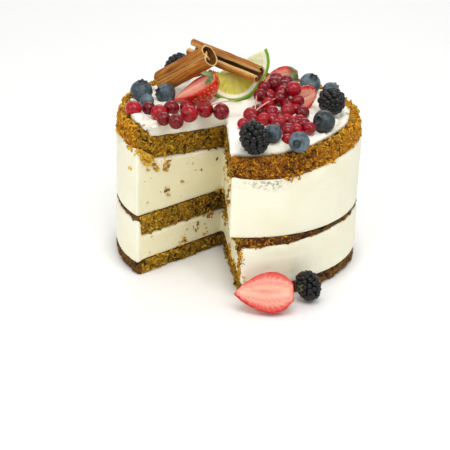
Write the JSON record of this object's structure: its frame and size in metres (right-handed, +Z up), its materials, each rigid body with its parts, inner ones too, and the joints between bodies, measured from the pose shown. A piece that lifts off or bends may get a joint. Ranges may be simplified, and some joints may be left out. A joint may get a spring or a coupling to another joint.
{
  "type": "carrot cake",
  "caption": "Round layer cake of carrot sponge and pale cream with a wedge cut out, dressed with berries, strawberry halves, lime slices and cinnamon quills.",
  "frame": {"origin": "on the cake's axis, on the flat underside that it rests on", "axes": "+Z up along the cake's axis; the cut wedge opens towards -Y, a little to -X; +X to the right when facing the cut"},
  "size_m": [0.16, 0.1838, 0.1373],
  "materials": {
    "sponge": "open golden-brown crumb, matt",
    "cream": "spread cream-cheese frosting, soft satin",
    "blueberry": "waxy bloom over dark blue skin",
    "redcurrant": "clear glossy crimson skin",
    "bramble": "glossy black drupelets",
    "strawberry": "moist red skin and pale cut flesh",
    "lime": "moist pulp, pale pith and green rind",
    "cinnamon": "dry rolled bark"
  },
  "bodies": {
    "root": {"sponge_bottom": "sponge", "cream_lower": "cream", "sponge_middle": "sponge", "cream_upper": "cream", "sponge_top": "sponge", "cream_top": "cream", "blueberry_1": "blueberry", "blueberry_2": "blueberry", "blueberry_3": "blueberry", "blueberry_4": "blueberry", "blueberry_5": "blueberry", "blueberry_6": "blueberry", "blueberry_7": "blueberry", "blueberry_8": "blueberry", "redcurrant_01": "redcurrant", "redcurrant_02": "redcurrant", "redcurrant_03": "redcurrant", "redcurrant_04": "redcurrant", "redcurrant_05": "redcurrant", "redcurrant_06": "redcurrant", "redcurrant_07": "redcurrant", "redcurrant_08": "redcurrant", "redcurrant_09": "redcurrant", "redcurrant_10": "redcurrant", "redcurrant_11": "redcurrant", "redcurrant_12": "redcurrant", "redcurrant_13": "redcurrant", "redcurrant_14": "redcurrant", "redcurrant_15": "redcurrant", "redcurrant_16": "redcurrant", "redcurrant_17": "redcurrant", "redcurrant_18": "redcurrant", "redcurrant_19": "redcurrant", "redcurrant_20": "redcurrant", "redcurrant_21": "redcurrant", "redcurrant_22": "redcurrant", "redcurrant_23": "redcurrant", "redcurrant_24": "redcurrant", "redcurrant_25": "redcurrant", "redcurrant_26": "redcurrant", "redcurrant_27": "redcurrant", "redcurrant_28": "redcurrant", "redcurrant_29": "redcurrant", "redcurrant_30": "redcurrant", "redcurrant_31": "redcurrant", "redcurrant_32": "redcurrant", "bramble_1": "bramble", "bramble_2": "bramble", "bramble_3": "bramble", "bramble_4": "bramble", "strawberry_1": "strawberry", "strawberry_2": "strawberry", "strawberry_3": "strawberry", "strawberry_4": "strawberry", "lime_1": "lime", "lime_2": "lime", "quill_closed": "cinnamon", "quill_open": "cinnamon"}
  },
  "joints": []
}
